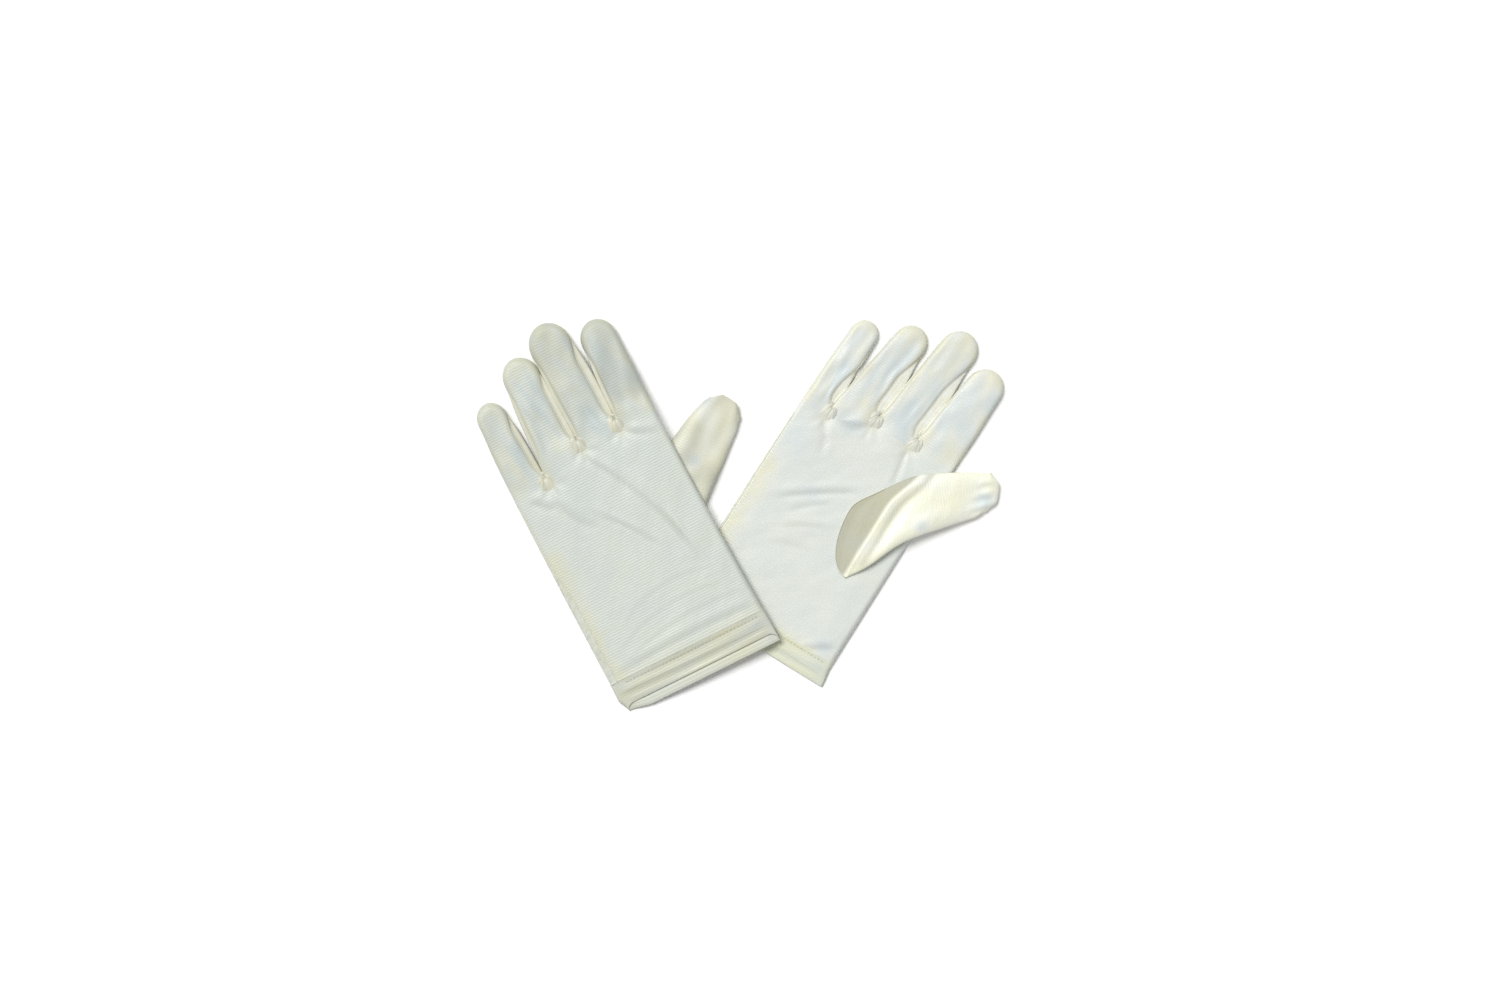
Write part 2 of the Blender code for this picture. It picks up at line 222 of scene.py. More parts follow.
def smooth_line(stations, values, at):
    """A smooth curve through the values: cubic pieces whose slopes come from their neighbours."""
    values = np.asarray(values, float)
    step = stations[1] - stations[0]
    slopes = np.gradient(values, step)
    k = np.clip((at / step).astype(int), 0, len(values) - 2)
    t = at / step - k
    a, b, da, db = values[k], values[k + 1], slopes[k] * step, slopes[k + 1] * step
    return a + t * (da + t * (3.0 * (b - a) - 2.0 * da - db + t * (2.0 * (a - b) + da + db)))


def crease(x, y, x0, y0, x1, y1, bow, width, depth, ridge):
    """A fold along a bent line from one point to another, with soft ends."""
    length = math.hypot(x1 - x0, y1 - y0)
    ax, ay = (x1 - x0) / length, (y1 - y0) / length
    u = ((x - x0) * ax + (y - y0) * ay) / length
    t = np.clip(u, -0.2, 1.2)
    v = (y - y0) * ax - (x - x0) * ay - bow * 4.0 * t * (1.0 - t)
    rise = ridge * hill(v - 1.9 * width, 1.2 * width) - depth * hill(v, width)
    return 0.7 * window(u, -0.12, 0.3, 1.12, 0.3) * rise


CREASES = {  # from x, y to x, y, then bow, width, depth and the height of the ridge beside it
    "left": [
        (-5, 143, 29, 62, 5, 1.4, 0.7, 0.5),
        (10, 127, 26, 74, 3, 1.3, 0.4, 0.3),
        (-20, 116, 12, 76, 2, 1.3, 0.45, 0.3),
        (-34, 132, -18, 104, -3, 2.6, 0.45, 0.3),
        (-44, 18.5, 47, 20, 2, 2.2, 0.5, 0.3),
        (-38, 30, 36, 40, 7, 1.3, 0.14, 0.1),
        (-36, 23, 44, 31, 5, 1.2, 0.16, 0.12),
        (-30, 42, 30, 52, 7, 1.4, 0.12, 0.08),
        (-46, 134, -36, 124, 0, 2, 0.6, 0.4),
        (24, 146, 44, 138, -1, 2, 0.4, 0.35),
    ],
    "right": [
        (-29, 84.5, 8, 110, 1, 1.8, 0.85, 0.4),
        (-20, 80, 0, 97, 1, 1.5, 0.45, 0.25),
        (-18, 70, 6, 83, 1, 1.7, 0.45, 0.25),
        (-20, 58, 4, 66, 1, 1.5, 0.3, 0.15),
        (-31, 138, -22, 118, 1, 2, 0.6, 0.3),
        (-28, 146, -6, 147, -4, 2.6, 1.1, 0.5),
        (21, 147, 24, 126, 0, 1.8, 0.7, 0.15),
        (30, 12, 47, 24, 1, 2, 0.9, 0.5),
        (-36, 24, 10, 17.5, -2, 2.2, 0.3, 0.2),
    ],
}
COOL_PATCHES = {  # centre, size and strength of the bluish sheen
    "left": (((-20, 128), 14, 0.25), ((10, 140), 12, 0.2)),
    "right": (
        ((-17, 143), 6, 0.55), ((-14, 95), 7, 0.4),
        ((40, 20), 6, 0.5), ((-36, 120), 10, 0.3),
    ),
}


class Glove:
    """One glove's frame and the shape of its cloth."""

    def __init__(self, side):
        self.side = side
        for key, value in GLOVES[side].items():
            setattr(self, key, value)
        index = Vector(JOINTS[f"{side}_index_bend"]["pos_m"])
        middle = Vector(JOINTS[f"{side}_middle_bend"]["pos_m"])
        thumb_axis = Vector(JOINTS[f"{side}_thumb_swing"]["axis"]).normalized()
        across = (index - middle).normalized()
        up_hand = thumb_axis * -self.palm_side
        normal = across.cross(up_hand).normalized()
        up_hand = normal.cross(across)
        palm = self.thick if self.palm_side > 0 else 0.0
        origin = middle / MM - across * MIDDLE_X - up_hand * KNUCKLE - normal * palm
        self.axes = np.array([across, up_hand, normal])
        self.origin = np.array(origin)
        self.middle = self.thick * FILL / 2.0

    def world(self, points):
        """Points in the glove's frame, in mm, as metres in the part's frame."""
        return (np.asarray(points) @ self.axes + self.origin) * MM

    def edges(self, y):
        """The hand's outline: its little-finger edge and its index edge at a height y."""
        y = np.asarray(y, float)
        up = unit(y / KNUCKLE)
        little, index = (
            lerp(cuff, knuckle, up) + swell * np.sin(math.pi * up)
            for cuff, knuckle, swell in (self.little_edge, self.index_edge)
        )
        little = little - self.corner * smooth((7.0 - y) / 7.0)
        return -little, index + self.mouth * smooth((12.0 - y) / 12.0)

    def place(self, x, y):
        """Where the glove's z = 0 lies, in mm in the part's frame."""
        return stack(x, y, 0.0) @ self.axes + self.origin

    def room(self, x, y):
        """Thickness of the hand here: the lower glove is pressed flat under the upper one."""
        full = self.thick * FILL
        if self.side == "left":
            return full
        left = GLOVE["left"]
        normal = left.axes[2]
        off = self.place(x, y) - left.origin
        plane = left.origin[2] - (normal[0] * off[..., 0] + normal[1] * off[..., 1]) / normal[2]
        return np.minimum(full, plane - GAP_BETWEEN - left_sag(off @ left.axes.T))

    def floor_height(self, x, y):
        """Height of the frame's z = 0 above the floor at a point."""
        return self.place(x, y)[..., 2]

    def sag(self, x, y):
        """How far the hand's cloth settles below the frame, towards the floor."""
        return left_sag(stack(x, y)) if self.side == "left" else 0.0

    def creases(self, x, y):
        return sum(crease(x, y, *row) for row in CREASES[self.side])

    def relief(self, x, y):
        """Creases and soft unevenness of the top layer."""
        seed, lean = self.unevenness
        made = self.creases(x, y)
        made = made + 0.36 * noise_at(x, y, 15.0, seed, 2.2, lean)
        made = made + 0.17 * noise_at(x, y, 6.5, seed + 5.0, 2.6, lean + 12.0)
        return made + 0.07 * noise_at(x, y, 2.6, seed + 9.0, 2.0, lean - 20.0)

    def dimples(self, x, y):
        """The pull of the fourchettes' gathered ends on the cloth round them."""
        made = 0.0
        for cx, cy in CROTCHES:
            dx, dy = x - cx, y - cy
            r = np.hypot(dx, dy)
            turn = np.arctan2(dy, dx)
            made = made - 1.2 * hill(r, 6.5)
            made = made + 0.16 * np.cos(7.0 * turn + cx) * (r / 6.0) * hill(r - 6.0, 4.0)
        return made

    def hand_z(self, x, y, upward):
        """Height of the hand's top or under layer, rounded down to the fold at its edges."""
        low, high = self.edges(y)
        room = self.room(x, y)
        near = np.minimum(x - low, high - x)
        rise = fold_profile(near)
        if upward:
            calm = smooth(near / 7.0)
            give = self.relief(x, y) * calm + self.dimples(x, y)
            z = room / 2.0 + (room / 2.0 - 0.15) * rise + give * smooth(room / 5.0)
        else:
            z = room / 2.0 - room / 2.0 * rise
        return z - self.sag(x, y)


def left_sag(place):
    """The left glove's cloth rests on the floor beyond the other glove, at its little side."""
    return LITTLE_EDGE_SAG * smooth((-6.0 - place[..., 0]) / 34.0)


GLOVE = {side: Glove(side) for side in GLOVES}


class Cloth:
    """A piece of cloth: a grid of points in its glove's frame, and the paint on it."""

    def __init__(self, glove, grid, weave, tint, shade=0.0, flip=False, closed=False):
        self.glove, self.grid, self.flip, self.closed = glove, grid, flip, closed
        self.weave, self.tint, self.shade = weave, unit(tint), unit(shade)

    def weld(self):
        """One point where borders meet, and no faces of no size."""
        shape = self.grid.shape[:2]
        ids = np.arange(shape[0] * shape[1]).reshape(shape)
        if self.closed:
            ids = np.hstack([ids, ids[:, :1]])
        quads = np.stack([ids[:-1, :-1], ids[:-1, 1:], ids[1:, 1:], ids[1:, :-1]], -1)
        if self.flip:
            quads = quads[..., ::-1]
        points = self.grid.reshape(-1, 3)
        keys = np.round(points / WELD_GAP).astype(np.int64)
        first, where = np.unique(keys, axis=0, return_index=True, return_inverse=True)[1:]
        self.at = points[first]
        self.weave_at = self.weave.reshape(-1, 2)[first]
        self.tint_at = np.broadcast_to(self.tint, shape).ravel()[first]
        self.shade_at = np.broadcast_to(self.shade, shape).ravel()[first]
        self.faces = []
        for quad in where.ravel()[quads.reshape(-1, 4)].tolist():
            kept = [v for k, v in enumerate(quad) if v != quad[k - 1]]
            if len(set(kept)) == len(kept) and len(kept) > 2:
                self.faces.append(kept)
        return self


def face_normals(at, faces):
    """Normal of each face from its diagonals, twice its area long, or a triangle's four times."""
    a, b, c, d = (np.array([face[k] for face in faces]) for k in (0, 1, 2, -1))
    triangle = (c == d)[:, None]
    again = np.cross(at[b] - at[a], at[c] - at[a])
    return np.cross(at[c] - at[a], at[d] - at[b]) + again * triangle


def shared_normals(cloths):
    """Point normals of all the cloths together, so that shading runs on across their borders."""
    keys = np.vstack([np.round(cloth.at / SHARED_GAP).astype(np.int64) for cloth in cloths])
    where = np.unique(keys, axis=0, return_inverse=True)[1].ravel()
    total = np.zeros((where.max() + 1, 3))
    start = 0
    for cloth in cloths:
        normals = face_normals(cloth.at, cloth.faces)
        for face, normal in zip(cloth.faces, normals):
            for v in face:
                total[where[start + v]] += normal
        start += len(cloth.at)
    total /= np.maximum(np.linalg.norm(total, axis=1), 1e-12)[:, None]
    start = 0
    for cloth in cloths:
        cloth.normals = total[where[start:start + len(cloth.at)]]
        start += len(cloth.at)


def paint(mesh, name, values, count):
    """Store one number a point, over again for the inner copy."""
    layer = mesh.attributes.new(name, "FLOAT", "POINT")
    layer.data.foreach_set("value", np.resize(values, count).astype(np.float32))


def new_object(name, data):
    made = bpy.data.objects.new(name, data)
    bpy.context.scene.collection.objects.link(made)
    return made


def new_mesh(name, points, faces, material):
    mesh = bpy.data.meshes.new(name)
    mesh.from_pydata(np.asarray(points).tolist(), [], faces)
    mesh.shade_smooth()
    mesh.materials.append(material)
    return new_object(name, mesh)


def solid(name, cloth, thickness, material):
    """A closed body: the cloth, a copy one thickness inside it, and a rim between them."""
    n = len(cloth.at)
    inner = cloth.at - cloth.normals * thickness
    edges = {(face[k - 1], v): True for face in cloth.faces for k, v in enumerate(face)}
    faces = cloth.faces + [[v + n for v in reversed(face)] for face in cloth.faces]
    plain = len(faces)
    faces += [[b, a, a + n, b + n] for a, b in edges if (b, a) not in edges]
    piece = new_mesh(name, cloth.glove.world(np.vstack([cloth.at, inner])), faces, material)
    mesh = piece.data
    for layer, values in (
        ("weave_x", cloth.weave_at[:, 0]),
        ("weave_y", cloth.weave_at[:, 1]),
        ("tint", cloth.tint_at),
        ("shade", cloth.shade_at),
        ("level", smooth((np.abs(cloth.normals[:, 2]) - 0.45) / 0.35)),
    ):
        paint(mesh, layer, values, 2 * n)
    turned = cloth.normals @ cloth.glove.axes
    both = np.vstack([turned, -turned])
    mesh.update()
    loops = []
    for k, face in enumerate(faces):
        loops += both[face].tolist() if k < plain else [list(mesh.polygons[k].normal)] * len(face)
    mesh.normals_split_custom_set(loops)
    return piece


def area_of(cloth):
    return float(np.linalg.norm(face_normals(cloth.at, cloth.faces), axis=1).sum() / 2.0) * MM * MM


# ---- the hand

FINGER_COLUMNS = {"little": 15, "ring": 18, "middle": 18, "index": 18}
HAND_ROWS = 92


def finger_spread(count, turn=math.radians(78.0)):
    """Column places from -1 to 1, closer together towards both sides."""
    return np.sin(np.linspace(-1.0, 1.0, count + 1) * turn) / math.sin(turn)


class HandPlan:
    """Where the hand's columns and rows lie, and where each finger's cloth begins."""

    def __init__(self, glove, upward):
        self.glove, self.upward = glove, upward
        xs = [float(glove.edges(CROTCHES[0][1])[0])] + [c[0] for c in CROTCHES]
        xs.append(float(glove.edges(INDEX_TOP)[1]))
        top_x, top_y, self.spans, start = [], [], {}, 0
        for k, finger in enumerate(FINGERS):
            place = (finger_spread(FINGER_COLUMNS[finger]) + 1.0) / 2.0
            y0 = CROTCHES[0][1] if k < 2 else INDEX_TOP
            y1 = CROTCHES[0][1] if k == 0 else INDEX_TOP
            x = lerp(xs[k], xs[k + 1], place)
            y = lerp(y0, y1, smooth(place))
            keep = slice(0, None) if k == 0 else slice(1, None)
            top_x += x[keep].tolist()
            top_y += y[keep].tolist()
            self.spans[finger] = (start, start + len(place) - 1)
            start += len(place) - 1
        self.top_x, self.top_y = np.array(top_x), np.array(top_y)

    def band(self, y):
        """How far the side seam stands in from the little edge, on this layer."""
        widest = self.glove.seam_band if self.upward else UNDER_BAND
        lower = smooth((108.0 - y) / 46.0)
        ending = smooth((CROTCHES[0][1] - y) / 8.0)
        return lerp(0.8, widest, lower) * ending

    def plan(self):
        """x and y of the grid from the hem's top to the knuckle border."""
        v = np.linspace(0.0, 1.0, HAND_ROWS + 1)[:, None]
        y = lerp(HEM_LENGTH, self.top_y[None, :], v)
        low_top = self.top_x[0]
        share_top = (self.top_x - low_top) / (self.top_x[-1] - low_top)
        share_cuff = np.linspace(0.0, 1.0, len(self.top_x))
        share = lerp(share_cuff[None, :], share_top[None, :], smooth(v * 1.15))
        low, high = self.glove.edges(y)
        start = low + self.band(y)
        x = start + share * (high - start)
        x[-1] = self.top_x
        return x, y


def hand_layer(glove, upward):
    plan = HandPlan(glove, upward)
    x, y = plan.plan()
    beside = smooth((15.0 - (x - glove.edges(y)[0])) / 11.0) * smooth((108.0 - y) / 14.0)
    # how golden rather than bluish the cloth is painted: golden beside the side seam, towards the
    # cuff and round the crotches, varying at random, and bluish in patches of painted sheen
    warm = 0.44 + 0.5 * beside * (1.0 + 0.9 * noise_at(x, y, 4.5, 16.0, 1.5, 90.0))
    warm = warm + 0.14 * noise_at(x, y, 20.0, 2.0 if upward else 6.0)
    warm = warm + 0.25 * smooth((24.0 - y) / 9.0)
    warm = warm + sum(0.4 * spot(x, y, crotch, 5.0) for crotch in CROTCHES)
    warm = warm - sum(share * spot(x, y, at, size) for at, size, share in COOL_PATCHES[glove.side])
    # painted shade: darker in the creases' valleys and just below the gathers
    shade = 0.45 * np.clip(-glove.creases(x, y), 0.0, 0.6)
    shade = shade + sum(0.16 * spot(x, y + 3.0, at, 6.0) for at in GATHERS[glove.side])
    points = stack(x, y, glove.hand_z(x, y, upward))
    cloth = Cloth(glove, points, stack(x, y), warm, shade, flip=not upward)
    cloth.plan = plan
    return cloth


def side_seam(glove, top, under):
    """The strip round the little-finger edge, between the two layers' first columns."""
    start, end = top.grid[:, 0], under.grid[:, 0]
    y = start[:, 1]
    low = glove.edges(y)[0]
    top_share = 0.6
    rows = []
    for k in np.linspace(0.0, 1.0, 9):
        if k <= top_share:
            x = lerp(start[:, 0], low, np.sin(k / top_share * math.pi / 2.0))
            pucker = noise_at(x, y, 3.2, 14.0) + 0.6 * np.sin(2.1 * y + 5.0 * k)
            z = glove.hand_z(x, y, True) + 0.5 * pucker * math.sin(k / top_share * math.pi)
        else:
            turn = (k - top_share) / (1.0 - top_share) * math.pi / 2.0
            x = lerp(low, end[:, 0], 1.0 - np.cos(turn))
            z = glove.hand_z(x, y, False)
        rows.append(stack(x, y, z))
    rows[0], rows[-1] = start, end
    points = np.stack(rows, 1)
    weave = stack(points[..., 1], points[..., 0] * 2.0)
    tint = 0.62 + 0.3 * noise_on(points, 9.0, 5.1) + 0.4 * noise_on(points, 3.0, 6.1)
    shade = 0.35 * smooth(2.2 * noise_on(points, 2.4, 8.1))
    return Cloth(glove, points, weave, tint, shade, flip=True)


def hem(glove):
    """The cuff's hem: a band folded double at the mouth, its under side slipped past the upper."""
    steps = np.linspace(0.0, 1.0, 61)
    share = lerp(steps, (1.0 - np.cos(steps * math.pi)) / 2.0, 0.55)
    s = np.concatenate([share, share[::-1][1:-1]])
    upward = np.arange(len(s)) < len(share)
    stations = [(HEM_LENGTH + 1.5, -0.12), (HEM_LENGTH + 0.8, 0.04), (HEM_LENGTH, 0.12)]
    for y in np.linspace(14.0, 0.9, 22):
        stations.append((y, 0.12 + 0.2 * math.sin(math.pi * (1.0 - y / 14.0))))
    stations += [(0.3, 0.12), (0.0, -0.1), (0.3, -0.4)]
    stations += [(y, -0.75) for y in np.linspace(1.2, 12.0, 8)]
    y, out = np.array(stations).T[..., None]
    low, high = glove.edges(y)
    x = lerp(low, high, s)
    near = np.minimum(x - low, high - x)
    room = glove.room(x, y) * lerp(MOUTH_FILL, 1.0, smooth(y / 20.0))
    reach = np.maximum(room / 2.0 * fold_profile(near), 0.0) + out * 0.9
    x = x + np.where(s < 0.5, -1.0, 1.0) * out * (1.0 - quarter_round(near / 2.4))
    slant = y - 7.4 + 2.4 * (s - 0.5)
    folds = 0.26 * np.sin(0.8 * y + 1.5 * np.sin(s * 3.0)) + 0.42 * np.exp(-np.abs(slant) / 0.9)
    bend = (0.3 * np.sin(s * 7.0 + 1.0) + folds) * smooth(near / 10.0)
    bend = bend * smooth(y / 3.0) * smooth((HEM_LENGTH - y) / 3.0)
    away = 1.0 - np.minimum(y, HEM_LENGTH) / HEM_LENGTH
    away = away * lerp(0.6, 1.0, smooth((x - low) / 16.0))
    curl = LIP_CURL * away * smooth(near / 8.0)
    z = room / 2.0 + np.where(upward, reach + bend, curl - reach) - glove.sag(x, y)
    slipped = glove.slip * away * np.where(upward, 1.0 - quarter_round(near / 5.0), 1.0)
    points = stack(x, y - slipped, z)
    floor = glove.floor_height(points[..., 0], points[..., 1])
    points[..., 2] = np.maximum(points[..., 2], FLOOR_GAP - floor)
    weave = stack(np.arange(len(s)) * 2.0, y)
    tint = 0.68 + 0.45 * noise_on(points, 6.0, 4.4, 4.0, 3.0)
    return Cloth(glove, points, weave, tint, flip=True, closed=True)


# ---- the fingers

FINGER_SHADE = {  # how dark the painted shade on a finger's panels lies
    ("left", "index"): 0.5, ("left", "middle"): 0.38,
    ("left", "ring"): 0.2, ("left", "little"): 0.2,
    ("right", "ring"): 0.08, ("right", "middle"): 0.08,
}


class Finger:
    """One finger stall: how its two panels and its fourchettes lie."""

    def __init__(self, glove, name):
        self.glove, self.name = glove, name
        shape = FINGER_SHAPES[glove.side][name]
        self.length, self.base, self.tip, self.lean, self.x, self.y = shape
        self.round = TIP_ROUND * self.tip / 2.0
        self.shoulder = self.length - self.round
        turn = math.radians(self.lean)
        self.along = np.array([math.sin(turn), math.cos(turn)])
        self.across = np.array([math.cos(turn), -math.sin(turn)])
        self.sides = FOURCHETTE_SIDES[name]

    def half_width(self, s):
        slim = 1.0 - 0.07 * smooth((s / self.shoulder - 0.45) / 0.55)
        return slim * lerp(self.base, self.tip, unit(s / self.shoulder)) / 2.0

    def strip(self, s, side, upward):
        """How far the panel's seam stands in from the finger's outline."""
        if side not in self.sides:
            return np.zeros_like(s)
        strips = STRIPS[self.glove.side]
        widest = strips[side] if upward else 0.9
        end = self.shoulder
        if self.name == "little":
            widest, end = 0.8 * widest, strips["little"] * end
        return widest * window(s, -1.0, 14.0, end, strips["fade"] * self.shoulder)

    def border(self, s, side):
        """Half the height of the side strip at the panel's seam."""
        if side not in self.sides:
            return np.zeros_like(s)
        return 0.62 * self.glove.middle * smooth((self.shoulder - s) / (0.3 * self.shoulder))

    def drop(self, s, x, y):
        """How far the finger falls below its glove's frame, so that its tip meets the floor."""
        start = np.array([self.x, self.y])
        root = float(self.glove.floor_height(*start) - self.glove.sag(*start))
        target = FLOOR_GAP + (root - FLOOR_GAP) * (1.0 - unit(s / self.length)) ** 1.1
        fallen = self.glove.floor_height(x, y) - target
        return lerp(self.glove.sag(x, y), fallen, smooth((s + 2.0) / 16.0))

    def layer(self, hand, upward):
        """A panel's grid, from the hand's own border to the round tip."""
        first, last = hand.plan.spans[self.name]
        root = hand.grid[-1, first:last + 1]
        c = finger_spread(last - first)
        back = (root[:, 0] - self.x) * self.along[0] + (root[:, 1] - self.y) * self.along[1]
        end = self.shoulder + self.round * np.sqrt(np.maximum(1.0 - c * c, 0.0))
        count = int(round(self.length / 1.45))
        t = 1.0 - (1.0 - np.linspace(0.0, 1.0, count + 1)[:, None]) ** 1.18
        s = back + t * (end - back)
        side = np.where(c < 0.0, -1, 1)
        width = self.half_width(s)
        if self.name == "index":
            flare = self.glove.flare * unit(1.0 - s / self.shoulder)
            width = width + (side > 0) * flare
        strip = np.where(side < 0, self.strip(s, -1, upward), self.strip(s, 1, upward))
        offset = c * (width - strip)
        x = self.x + self.along[0] * s + self.across[0] * offset
        y = self.y + self.along[1] * s + self.across[1] * offset
        fade = 1.0 - smooth((s - back) / 15.0)
        x = x + (root[:, 0] - x[0]) * fade
        y = y + (root[:, 1] - y[0]) * fade
        border = np.where(side < 0, self.border(s, -1), self.border(s, 1))
        z = self.height(s, c, end, border, upward, x, y)
        points = stack(x, y, lerp(root[:, 2], z, smooth((s - back) / 13.0)))
        points[0] = root
        return points, s, c

    def height(self, s, c, end, border, upward, x, y):
        middle = self.glove.middle
        near = 1.0 - np.abs(c)
        across = 0.85 * quarter_round(near / 0.3) + 0.15 * quarter_round(near)
        swell = np.sin(math.pi * unit(s / self.length))
        full = middle + (0.35 * swell if upward else 0.0)
        z = border + (full - border) * across * quarter_round((end - s) / 6.0)
        if upward:
            calm = smooth(near / 0.4) * smooth((end - s) / 6.0)
            z = z + calm * (self.glove.relief(x, y) * 0.8 + self.folds(s, c))
        return middle + (z if upward else -z) - self.drop(s, x, y)

    def folds(self, s, c):
        """Soft crosswise folds at the knuckle, and the long pull of the cloth down a finger."""
        seed = 11.0 + 3.1 * FINGERS.index(self.name) + (20.0 if self.glove.side == "left" else 0.0)
        long_pull = 0.55 * noise_at(c * 11.0, s * 0.35, 6.0, seed)
        slant = 0.42 * noise_at(c * 11.0 + 0.45 * s, s, 5.0, seed + 2.0, 3.0, 70.0)
        knuckles = 0.2 * np.sin(s / 4.6 + 1.5 * c) * hill(s - 0.42 * self.length, 8.0)
        return long_pull + slant * (1.0 - 0.5 * smooth(s / self.length)) + knuckles

    def wall(self, top, under, s_top, side):
        """The fourchette on one side, from the top panel's seam round to the under panel's."""
        column = -1 if side > 0 else 0
        a, b = top[:, column], under[:, column]
        s = s_top[:, column]
        out = np.array([self.across[0], self.across[1], 0.0]) * side
        strip = self.strip(s, side, True)
        open_share = smooth((s - s[0]) / 8.0) * smooth((self.shoulder - s) / 12.0)
        reach = np.maximum(strip - 0.2, 0.5 * open_share)
        height = a[:, 2] - b[:, 2]
        rows = []
        for k in np.linspace(0.0, 1.0, 10):
            turn = math.pi * k
            outward = reach * np.sin(turn) ** 0.9 if k < 0.5 else reach * np.sin(turn)
            fall = 0.62 * k / 0.5 if k < 0.5 else 0.62 + 0.38 * (k - 0.5) / 0.5
            point = lerp(a, b, k)
            point[:, 2] = a[:, 2] - height * fall
            ripple = 0.2 * np.sin(s * 1.1 + 4.0 * k) * hill(s - s[0], 14.0) * math.sin(turn)
            outward = outward + ripple * smooth((s - s[0]) / 3.0)
            rows.append(point + out * outward[:, None])
        rows[0], rows[-1] = a, b
        return np.stack(rows, 1), s


def add_finger(glove, name, top_hand, under_hand):
    """The cloths of one finger: its two panels and its fourchettes."""
    finger = Finger(glove, name)
    made = {}
    top, s_top, c = finger.layer(top_hand, True)
    under, s_under, c = finger.layer(under_hand, False)
    under[-1] = top[-1]
    for side in (-1, 1):
        if side not in finger.sides:
            column = -1 if side > 0 else 0
            under[1:, column] = top[1:, column]
    for upward, points, s in ((True, top, s_top), (False, under, s_under)):
        face = "palm" if upward == (glove.palm_side > 0) else "back"
        # how golden rather than bluish the panel is painted: golden towards its edges and tip where
        # it turns from the light, patchy at random, and in long streaks of painted sheen
        warm = 0.4 + 0.35 * smooth((np.abs(c) - 0.5) / 0.5)
        warm = warm + 0.3 * smooth((s - 0.8 * finger.length) / 12.0)
        patchy = 0.75 if glove.side == "right" else 0.5
        warm = warm + patchy * noise_on(points, 11.0, 7.7, 1.6, 70.0)
        streaks = noise_at(11.0 * c + 0.2 * s, 0.16 * s, 4.5, 17.0 + 2.3 * FINGERS.index(name))
        warm = warm + 0.55 * streaks * smooth((s + 2.0) / 12.0)
        # painted shade: each finger's own darkness from FINGER_SHADE, in patches, and darker
        # towards the panel's edges where it turns down
        deep = FINGER_SHADE.get((glove.side, name), 0.0) * smooth((s + 2.0) / 22.0)
        deep = deep * (1.0 + 0.5 * noise_on(points, 8.0, 3.3, 3.0, 75.0))
        near = smooth((np.abs(c) - 0.75) / 0.25) * smooth((s + 2.0) / 10.0)
        shade = deep + 0.14 * near
        made[f"{glove.side}_{name}_{face}"] = Cloth(
            glove, points, points[..., :2], warm, shade, flip=not upward
        )
    for side in finger.sides:
        points, s = finger.wall(top, under, s_top, side)
        where = "thumbward" if side > 0 else "outward"
        weave = stack(s[:, None], np.arange(points.shape[1]) * 1.2)
        tint = 0.6 + 0.3 * noise_on(points, 5.0, 1.3)
        down = np.linspace(0.0, 1.0, points.shape[1])
        # painted shade on the fourchette: a thin dark line at the top panel's seam, and darker from
        # a third of the way round, in the crevice between the fingers
        deep = STRIPS[glove.side]["shade"]
        shade = 0.5 * deep * hill(down, 0.09) + deep * smooth((down - 0.3) / 0.2)
        made[f"{glove.side}_{name}_fourchette_{where}"] = Cloth(
            glove, points, weave, tint, shade, flip=side < 0
        )
    return finger, made, top


# ---- the thumb

